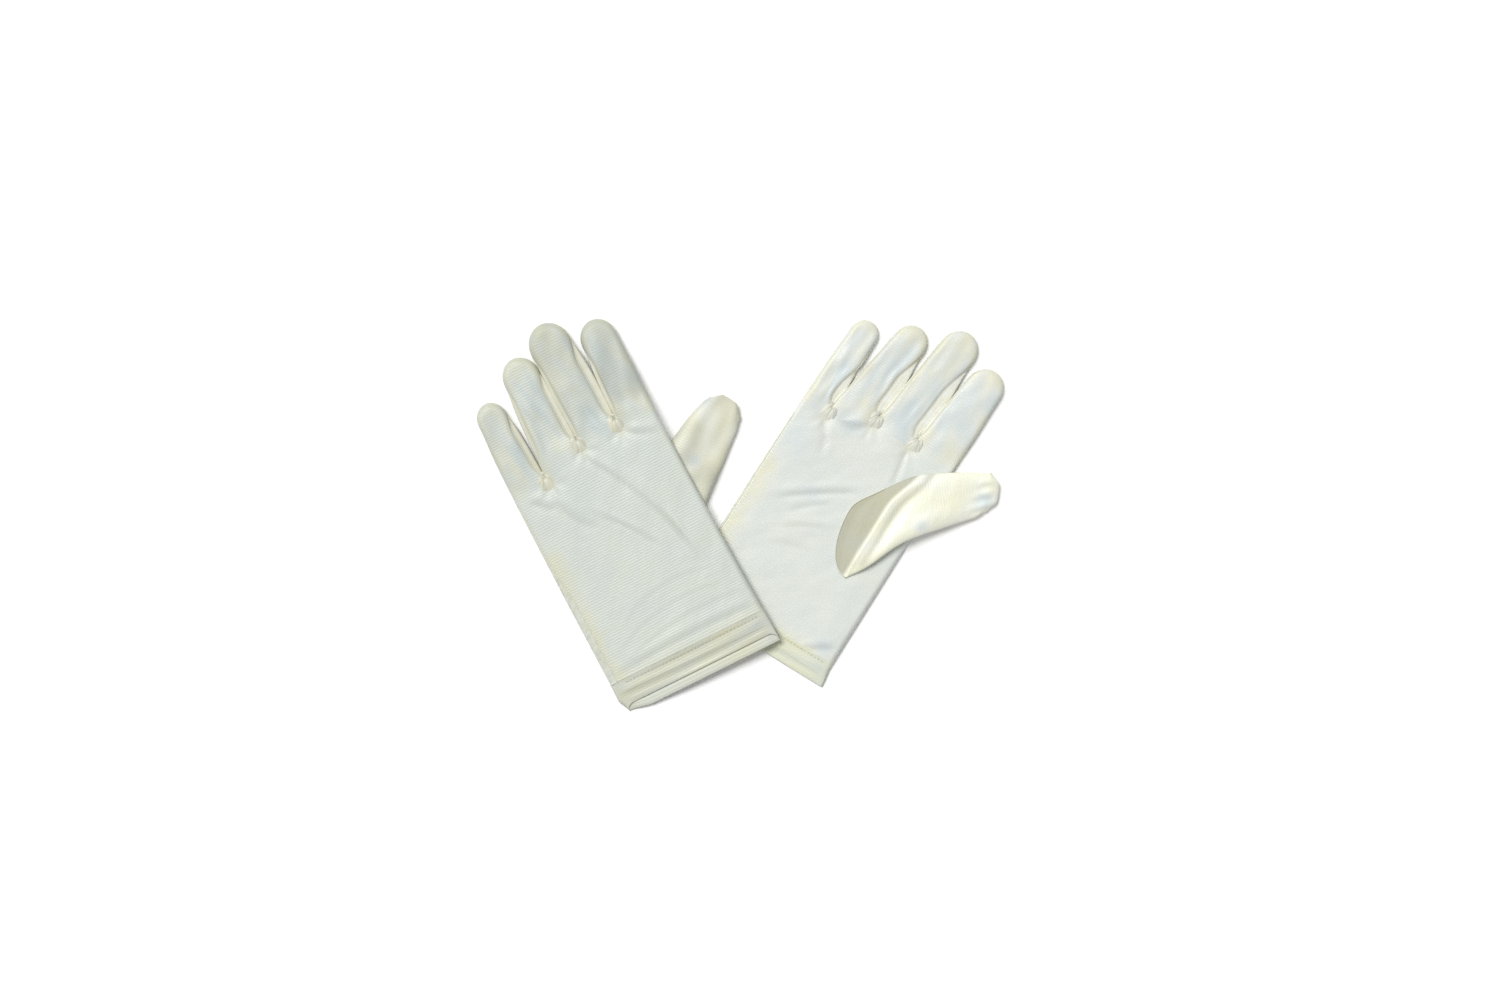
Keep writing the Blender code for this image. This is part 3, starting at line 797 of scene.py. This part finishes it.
class Thumb:
    """The thumb stall, sewn round an oval in the palm and lying flat on it or under it."""

    def __init__(self, glove):
        self.glove = glove
        for key, value in THUMBS[glove.side].items():
            setattr(self, key, value)

    def plan(self, column, row):
        """x and y in the glove's frame. Rows below 0 reach back over the oval."""
        r = unit(row)
        stations = np.linspace(0.0, 1.0, len(self.lower))
        low, high = (
            [smooth_line(stations, [point[k] for point in edge], r) for k in (0, 1)]
            for edge in (self.lower, self.upper)
        )
        share = (column + 1.0) / 2.0
        x, y = lerp(low[0], high[0], share), lerp(low[1], high[1], share)
        across_x, across_y = high[0] - low[0], high[1] - low[1]
        width = np.hypot(across_x, across_y)
        corner = smooth((np.abs(column) - 0.4) / 0.6) * smooth((r - 0.88) / 0.12)
        bow = 1.6 * (1.0 - column * column) * smooth((r - 0.85) / 0.15)
        out = (bow - THUMB_CORNER_CUT * corner) / width
        x = x + out * across_y
        y = y - out * across_x
        blunt = lerp(0.5, 0.95, smooth((column - 0.2) / 0.8))
        back = np.minimum(row, 0.0) * np.maximum(1.0 - np.abs(column) ** 2.2, 0.0) ** blunt
        back = back * 0.9 * (1.0 - 0.3 * smooth((column - 0.35) / 0.65))
        x = x + OVAL_REACH * back
        y = y + 2.0 * back
        return x, y

    def grids(self):
        """Outer and inner half, which share their side and tip borders."""
        columns = finger_spread(40, 0.48 * math.pi)
        outer_rows = np.concatenate([np.linspace(-1.0, 0.0, 12)[:-1], np.linspace(0.0, 1.0, 64)])
        outer_rows = np.where(outer_rows > 0.0, 1.0 - (1.0 - outer_rows) ** 1.12, outer_rows)
        made = []
        for outer in (True, False):
            rows = outer_rows if outer else outer_rows[outer_rows >= 0.0]
            column, row = np.meshgrid(columns, rows)
            x, y = self.plan(column, row)
            made.append((column, row, x, y, self.level(column, row, x, y, outer)))
        return made

    def ridge(self, x, y):
        """How far a point lies beyond the ridge where the thumb's cloth turns out of the oval."""
        return x - 29.0 - 7.0 * smooth((y - 112.0) / 30.0)

    def level(self, column, row, x, y, outer):
        """Distance above the palm's surface, away from the palm."""
        across = quarter_round((1.0 - np.abs(column)) / 0.5)
        calm = across * quarter_round((1.0 - row) / 0.11)
        thick = lerp(3.4, 6.4, smooth(row / 0.4))
        settle = smooth((row + 0.05) / 0.35)
        middle = lerp(0.1, 0.35 + thick / 2.0, settle)
        if not outer:
            return middle - (thick / 2.0 - 0.05) * calm * settle
        back = np.sqrt(np.maximum(1.0 - column * column, 0.0))
        inside = np.where(row < 0.0, (1.0 + row) * back, 1.0)
        rim = smooth(inside / 0.9)
        past = self.ridge(x, y)
        made = lerp(thick, thick / 2.0, settle)
        made = made + 1.5 * np.exp(-np.abs(past) / 2.2) * window(y, 64.0, 12.0, 144.0, 14.0)
        made = made - 1.1 * hill(past + 8.0, 5.0) * rim * smooth((y - 66.0) / 14.0)
        made = made - 0.8 * hill(past - 7.0, 3.4) * window(y, 84.0, 16.0, 134.0, 20.0)
        made = made + 0.5 * np.sin(column * 11.0 + 0.6) * hill(row - 0.9, 0.06) * across
        made = made + 0.65 * noise_at(x, y, 9.0, 31.0, 1.8, 60.0)
        made = made + 0.2 * noise_at(x, y, 4.0, 37.0, 1.6, 110.0)
        return middle + made * calm * rim

    def cloths(self):
        outer, inner = self.grids()
        first = len(outer[0]) - len(inner[0])
        for column in (0, -1):
            inner[-1][:, column] = outer[-1][first:, column]
        inner[-1][-1] = outer[-1][-1]
        made = {}
        glove = self.glove
        up = glove.palm_side > 0
        surface = glove.thick * FILL if up else 0.0
        turn = math.radians(-40.0)
        for label, (column, row, x, y, level) in (("outer", outer), ("inner", inner)):
            z = surface + glove.palm_side * level - self.drop * smooth((x - 46.0) / 36.0)
            tint = 0.6 + 0.35 * noise_at(x, y, 11.0, 21.0, 1.7, 60.0)
            # bluish spots of painted sheen on the thumb's face
            for at in ((52.0, 113.0), (75.0, 147.0)):
                tint = tint - 0.6 * spot(x, y, at, 5.0)
            shade = 0.0
            # painted shade: the left thumb, whose satin catches less light, is darker all over, in
            # patches
            if not up:
                shade = shade + 0.42 + 0.55 * noise_at(x, y, 9.0, 25.0, 1.8, 40.0)
            if label == "outer":
                past = self.ridge(x, y)
                # painted shade: dark over the gusset, and in a band along the valley just beyond
                # its ridge
                gusset = smooth(-past / 2.5)
                tint = tint + 0.1 * gusset
                shade = shade + 0.95 * gusset
                shade = shade + 0.62 * hill(past - 4.6, 2.5) * window(y, 68.0, 10.0, 152.0, 10.0)
                if up:
                    seat = glove.hand_z(np.minimum(x, 44.0), np.minimum(y, 140.0), True)
                    press = 1.0 - smooth((row + 0.75) / 0.5)
                    z = lerp(z, seat + 0.25, press * (row < 0.0))
            z = np.maximum(z, FLOOR_GAP - glove.floor_height(x, y))
            weave = stack(
                x * math.sin(turn) + y * math.cos(turn), x * math.cos(turn) - y * math.sin(turn)
            )
            made[f"{glove.side}_thumb_{label}"] = Cloth(
                glove, stack(x, y, z), weave, tint, shade,
                flip=(label == "outer") == up,
            )
        return made


# ---- thread and trim

def tube(points, radius, sides):
    """Rings round a line of points, closed at each end."""
    along = np.gradient(points, axis=0)
    along /= np.maximum(np.linalg.norm(along, axis=1), 1e-9)[:, None]
    side = np.cross(along, [0.0, 0.0, 1.0])
    side /= np.maximum(np.linalg.norm(side, axis=1), 1e-9)[:, None]
    up = np.cross(side, along)
    angles = np.arange(sides) * 2.0 * math.pi / sides
    rings = [points + radius * (math.cos(a) * side + math.sin(a) * up) for a in angles]
    end = (len(points) - 1) * sides
    faces = []
    for i in range(0, end, sides):
        for k in range(sides):
            a, b = i + k, i + (k + 1) % sides
            faces.append([a + sides, b + sides, b, a])
    faces += [list(range(sides)), [end + k for k in reversed(range(sides))]]
    return np.stack(rings, 1).reshape(-1, 3), faces


def thread_piece(name, glove, lines, radius, material, sides=6):
    """One mesh of seam ridges or stitches, each a closed tube."""
    verts, faces, start = [], [], 0
    for line in lines:
        v, f = tube(line, radius, sides)
        verts.append(v)
        faces += [[i + start for i in face] for face in f]
        start += len(v)
    return new_mesh(name, glove.world(np.vstack(verts)), faces, material)


def stitches(line, pitch):
    """Short straight stitches along a line of points."""
    gone = np.concatenate([[0.0], np.cumsum(np.linalg.norm(np.diff(line, axis=0), axis=1))])
    made = []
    for at in np.arange(pitch, gone[-1] - pitch, pitch):
        ends = np.linspace(at, at + STITCH_LENGTH, 4)
        points = stack(*(np.interp(ends, gone, line[:, k]) for k in range(3)))
        points[:, 2] += (-STITCH_RISE, STITCH_RISE, STITCH_RISE, -STITCH_RISE)
        made.append(points)
    return made


def gather(glove, index):
    """The puckered end of the fourchettes between two fingers, folded over the crotch."""
    cx, cy = GATHERS[glove.side][index]
    r, a = np.meshgrid(
        np.linspace(0.0, 1.0, 12), np.linspace(0.0, 2.0 * math.pi, 61)[:-1], indexing="ij"
    )
    seed, deep = (3.0 * index + 1.0, 0.18) if glove.side == "left" else (3.0 * index + 7.0, 0.4)
    rim = 1.0 + 0.24 * noise_at(2.0 * np.cos(a), 2.0 * np.sin(a), 1.0, seed)
    wide = 4.4 * rim * np.cos(a) * (1.0 - 0.22 * np.sin(a))
    tall = 6.0 * rim * np.sin(a)
    x = cx + 0.5 + r * (wide - 0.5)
    y = cy + 3.2 + r * (tall - 3.2)
    base = glove.hand_z(x, np.minimum(y, CROTCHES[index][1]), True)
    folds = noise_at(3.8 * np.cos(a), 3.8 * np.sin(a) + 0.8 * r, 1.0, seed + 0.4)
    closed = 1.0 - 0.75 * smooth(np.sin(a) * 1.4)
    lip = 1.15 * np.sin(math.pi * r ** 0.8) * closed
    z = base + 0.1 + lip + 1.1 * folds * r * (1.1 - r) - 0.7 * (1.0 - r) ** 2
    # painted shade: the gather darker all over, more so on the right glove, darker still in the
    # hollows of its folds, and dark at its centre where the fingers part
    tint = 0.66 + 0.4 * folds
    shade = deep + 0.35 * smooth(-3.0 * folds) + 0.8 * smooth((0.3 - r) / 0.3)
    z[0], tint[0], shade[0] = z[1].mean() - 0.1, 0.9, 0.2
    weave = stack(r * 6.0, a * 4.0)
    return Cloth(glove, stack(x, y, z), weave, tint, shade, flip=True, closed=True)


# ---- materials

class Shader:
    """A material's node tree, with the sums and mixes that cloth and thread need."""

    def __init__(self, name):
        self.material = bpy.data.materials.new(name)
        self.material.use_nodes = True
        self.nodes = self.material.node_tree.nodes
        self.inputs = self.nodes["Principled BSDF"].inputs

    def feed(self, socket, value):
        """Link an output to a socket, or give the socket a number or a colour."""
        if isinstance(value, bpy.types.NodeSocket):
            self.material.node_tree.links.new(value, socket)
        else:
            socket.default_value = (*value, 1.0) if isinstance(value, tuple) else value

    def node(self, kind, inputs, **settings):
        node = self.nodes.new("ShaderNode" + kind)
        for key, value in settings.items():
            setattr(node, key, value)
        for key, value in inputs.items():
            self.feed(node.inputs[key], value)
        return node

    def read(self, name):
        return self.node("Attribute", {}, attribute_name=name).outputs["Fac"]

    def math(self, kind, *values, clamp=False):
        node = self.node("Math", dict(enumerate(values)), operation=kind, use_clamp=clamp)
        return node.outputs[0]

    def noise(self, vector, scale, detail=2.0):
        inputs = {"Vector": vector, "Scale": scale, "Detail": detail}
        return self.node("TexNoise", inputs).outputs["Fac"]

    def mix(self, share, a, b):
        return self.node("Mix", {0: share, 6: a, 7: b}, data_type="RGBA").outputs[2]


def satin(name, gain, tones, rib=1.6):
    """Stretch satin: fine crosswise ribs and grain, a soft gloss, a tint painted over it, partly
    painted sheen, and painted shade.
    """
    made = Shader(name)
    weave_y, shade = made.read("weave_y"), made.read("shade")
    weave = made.node("CombineXYZ", {0: made.read("weave_x"), 1: weave_y}).outputs[0]
    cloud = made.noise(weave, 0.11, 3.0)
    slub = made.noise(weave, 0.55, 2.0)
    grain = made.noise(weave, 0.9, 1.0)
    phase = made.math("ADD", weave_y, made.math("MULTIPLY", slub, 1.3))
    wave = made.math("SINE", made.math("MULTIPLY", phase, 2.0 * math.pi / rib))
    ribs = made.math("MULTIPLY_ADD", wave, 0.5, 0.5)
    drift = made.math("MULTIPLY_ADD", cloud, 0.3, -0.15)
    ramp = made.node("ValToRGB", {0: made.math("ADD", made.read("tint"), drift, clamp=True)})
    ramp.color_ramp.elements.new(0.48)
    for element, place, colour in zip(ramp.color_ramp.elements, (0.0, 0.48, 1.0), tones):
        element.position = place
        element.color = (*(min(share * part, 0.95) for share, part in zip(gain, colour)), 1.0)
    patch = made.math("MULTIPLY", ribs, made.math("MULTIPLY_ADD", slub, 0.5, -0.12))
    specks = made.math("MULTIPLY_ADD", grain, 1.3, -0.52)
    grained = made.math("ADD", made.math("MULTIPLY", patch, 0.6), specks, clamp=True)
    woven = made.mix(made.math("MULTIPLY", grained, 0.3), ramp.outputs[0], (0.40, 0.42, 0.38))
    fine = made.math("MULTIPLY", made.math("ADD", ribs, grain), made.read("level"))
    bump = made.node("Bump", {"Strength": 0.5, "Distance": 0.00014, "Height": fine})
    # painted shade: the shade attribute darkens the base colour and lessens the gloss
    for socket, value in (
        ("Base Color", made.mix(made.math("MULTIPLY", shade, 0.6), woven, (0.17, 0.17, 0.12))),
        ("Roughness", made.math("MULTIPLY_ADD", cloud, 0.2, 0.3)),
        ("Normal", bump.outputs["Normal"]),
        ("Sheen Weight", 0.2),
        ("Sheen Roughness", 0.4),
        ("Specular IOR Level", made.math("MULTIPLY_ADD", shade, -0.5, 0.5)),
    ):
        made.feed(made.inputs[socket], value)
    return made.material


def plain_material(name, colour, roughness):
    made = Shader(name)
    made.feed(made.inputs["Base Color"], colour)
    made.feed(made.inputs["Roughness"], roughness)
    return made


def thread_material(name, colour):
    made = plain_material(name, colour, 0.5)
    twist = made.noise(made.node("TexCoord", {}).outputs["Object"], 2500.0)
    darker = tuple(0.78 * part for part in colour)
    made.feed(made.inputs["Base Color"], made.mix(twist, colour, darker))
    return made.material


TONES = {  # bluish, plain and golden colour of each cut of the one satin: the bluish end stands for painted sheen, and the fourchettes and thumb are painted lighter where they catch the light
    "satin": ((0.54, 0.61, 0.60), (0.61, 0.65, 0.593), (0.635, 0.647, 0.51)),
    "hem": ((0.55, 0.61, 0.60), (0.615, 0.64, 0.565), (0.65, 0.65, 0.49)),
    "fourchette": ((0.70, 0.74, 0.68), (0.82, 0.82, 0.69), (0.76, 0.73, 0.52)),
    "seam": ((0.58, 0.63, 0.60), (0.64, 0.68, 0.60), (0.67, 0.67, 0.52)),
    "thumb": ((0.66, 0.73, 0.74), (0.855, 0.86, 0.75), (0.85, 0.84, 0.61)),
}
GAIN = {"left": (1.0, 1.0, 1.0), "right": (1.12, 1.13, 1.10)}  # the lower glove is painted lighter, as its satin catches more light
# each cut's own painted light, lighter or darker than its glove's
OWN_GAIN = {
    ("right", "satin"): (1.18, 1.155, 1.185),
    ("right", "fourchette"): (1.12, 1.14, 1.26),
    ("left", "fourchette"): (0.93, 0.935, 0.96),
}
SATIN = {
    (side, slot): satin(f"{side}_{slot}_satin", OWN_GAIN.get((side, slot), GAIN[side]), TONES[slot])
    for side in GLOVES
    for slot in TONES
}
THREAD = thread_material("thread", (0.80, 0.80, 0.70))
SEAM_THREAD = thread_material("seam_ridge", (0.76, 0.74, 0.58))


# ---- the pieces

def slot_of(name):
    for word in ("hem", "fourchette", "seam", "thumb"):
        if word in name:
            return word
    return "satin"


def build_glove(side):
    glove = GLOVE[side]
    top, under = hand_layer(glove, True), hand_layer(glove, False)
    palm_up = glove.palm_side > 0
    cloths = {
        f"{side}_palm": top if palm_up else under,
        f"{side}_back": under if palm_up else top,
        f"{side}_side_seam": side_seam(glove, top, under),
        f"{side}_cuff_hem": hem(glove),
    }
    under.grid[:, -1] = top.grid[:, -1]
    fingers = {}
    for name in FINGERS:
        finger, made, points = add_finger(glove, name, top, under)
        fingers[name] = (finger, points)
        cloths.update(made)
    thumb_cloths = Thumb(glove).cloths()
    for group in (cloths, thumb_cloths):
        for cloth in group.values():
            cloth.weld()
        shared_normals([c for n, c in group.items() if "hem" not in n])
    shared_normals([cloths[f"{side}_cuff_hem"]])
    cloths.update(thumb_cloths)

    pieces = {}
    for name, cloth in cloths.items():
        thickness = HEM_CLOTH if "hem" in name else CLOTH
        pieces[name] = solid(name + "_cloth", cloth, thickness, SATIN[side, slot_of(name)])
        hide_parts(name)
        slot_of(name)
    attach(glove, pieces)
    trim(glove, top, fingers, thumb_cloths[f"{side}_thumb_outer"].grid[0])
    declare(glove, pieces, cloths)


def turn_with(piece, glove, part):
    """Bake a piece's placing into its mesh, and work out where its cloth would turn from the hand
    to a finger or the thumb; no blend is made.
    """
    if part == "thumb":
        ends = [(x, y, 0.0) for x, y in THUMB_TURN]
    else:
        border = CROTCHES[0][1] if part == "little" else INDEX_TOP
        x = FINGER_SHAPES[glove.side][part][4]
        ends = [(x, border + past, glove.middle) for past in FINGER_TURN]
    start, end = (Vector(glove.world(point)) for point in ends)
    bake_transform(piece)
    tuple(start)
    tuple(end)


def attach(glove, pieces):
    for name, piece in pieces.items():
        part = name.split("_")[1]
        if part in FINGERS or part == "thumb":
            turn_with(piece, glove, part)
        else:
            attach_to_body(piece, f"{glove.side}_hand")


def trim(glove, top, fingers, oval):
    """Seam ridges, stitches and the gathered ends of the fourchettes."""
    side = glove.side
    oval = oval + np.array([0.0, 0.0, OVAL_SEAM_LIFT * glove.palm_side])
    ridge = thread_piece(f"{side}_thumb_seam", glove, [oval], OVAL_SEAM_RADIUS, THREAD)
    turn_with(ridge, glove, "thumb")
    for name, (finger, upper) in fingers.items():
        count = int(FINGER_SEAM_SHARE * len(upper))
        lines = [upper[2:count, -1 if where > 0 else 0] for where in finger.sides]
        ridge = thread_piece(f"{side}_{name}_seam", glove, lines, SEAM_RADIUS, SEAM_THREAD)
        turn_with(ridge, glove, name)
    for index, (outer, inner) in enumerate(zip(FINGERS, FINGERS[1:])):
        cloth = gather(glove, index).weld()
        shared_normals([cloth])
        name = f"{side}_gather_{outer}_{inner}"
        piece = solid(name, cloth, CLOTH, SATIN[side, "fourchette"])
        turn_with(piece, glove, inner)
    line = top.grid[:-6, 0].copy()
    line[:, 2] += 0.25 * noise_on(line, 1.9, 12.0)
    ridge = thread_piece(f"{side}_side_seam_ridge", glove, [line], SEAM_RADIUS, SEAM_THREAD)
    line = top.grid[:-8, 0] + np.array([SIDE_STITCHES[0], 0.0, 0.0])
    line[:, 2] = glove.hand_z(line[:, 0], line[:, 1], True)
    lines = stitches(line, SIDE_STITCHES[1])
    sewn = thread_piece(f"{side}_side_seam_stitches", glove, lines, STITCH_RADIUS, THREAD, 5)
    x = np.linspace(-46.0, 46.0, 120)
    z = glove.hand_z(x, HEM_LENGTH, True) + HEM_STITCH_LIFT
    lines = stitches(stack(x, HEM_LENGTH - HEM_STITCHES[0], z), HEM_STITCHES[1])
    hemmed = thread_piece(f"{side}_hem_stitches", glove, lines, STITCH_RADIUS, THREAD, 5)
    for piece, slot in ((ridge, "seam"), (sewn, "seam"), (hemmed, "hem")):
        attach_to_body(piece, f"{side}_hand")


def declare(glove, pieces, cloths):
    """Work out each piece of cloth's area and length, whether it is laid or folded, and its
    trimmings; nothing is done with them.
    """
    side = glove.side
    trimmings = {f"{side}_palm": [pieces[f"{side}_side_seam"]]}
    for name, piece in pieces.items():
        if "fourchette" in name:
            trimmings.setdefault(name.split("_fourchette")[0] + "_palm", []).append(piece)
    for name, piece in pieces.items():
        if "fourchette" in name or "side_seam" in name:
            continue
        area = area_of(cloths[name])
        spread = np.ptp(cloths[name].at, axis=0)
        length = float(2.0 * spread[0] if "hem" in name else max(spread[0], spread[1])) * MM
        held = "folded" if "hem" in name else "laid"
        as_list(trimmings.get(name, ()))


corners = [(x * FLOOR_REACH, y * FLOOR_REACH, 0.0) for x, y in ((-1, -1), (1, -1), (1, 1), (-1, 1))]
white = plain_material("floor_white", (1.0, 1.0, 1.0), 0.9)
new_mesh("floor", corners, [(0, 1, 2, 3)], white.material)

for side in GLOVES:
    build_glove(side)

# ---- light and camera

centre = (CAD_BOX[0] + CAD_BOX[1]) / 2.0
lamp = bpy.data.lights.new("key", "SUN")
lamp.energy, lamp.angle, lamp.color = 2.5, math.radians(30.0), (1.0, 0.995, 0.985)
key = new_object("key", lamp)
key.location = (-1.2, 1.35, 3.0)
aim = Vector((centre.x, centre.y, 0.0))
key.rotation_euler = (aim - key.location).to_track_quat("-Z", "Y").to_euler()

world = bpy.data.worlds.new("studio")
bpy.context.scene.world = world
world.use_nodes = True
sky = world.node_tree.nodes["Background"].inputs
sky["Color"].default_value = (1.0, 1.0, 1.0, 1.0)
sky["Strength"].default_value = 0.40

camera_data = bpy.data.cameras.new("camera")
camera_data.lens, camera_data.sensor_width = 100.0, 36.0
camera_data.clip_start, camera_data.clip_end = 0.1, 20.0
camera = new_object("camera", camera_data)
camera.location = (centre.x + VIEW_SHIFT[0], centre.y + VIEW_SHIFT[1], VIEW_HEIGHT)
bpy.context.scene.camera = camera
bpy.context.scene.view_settings.view_transform = "Standard"
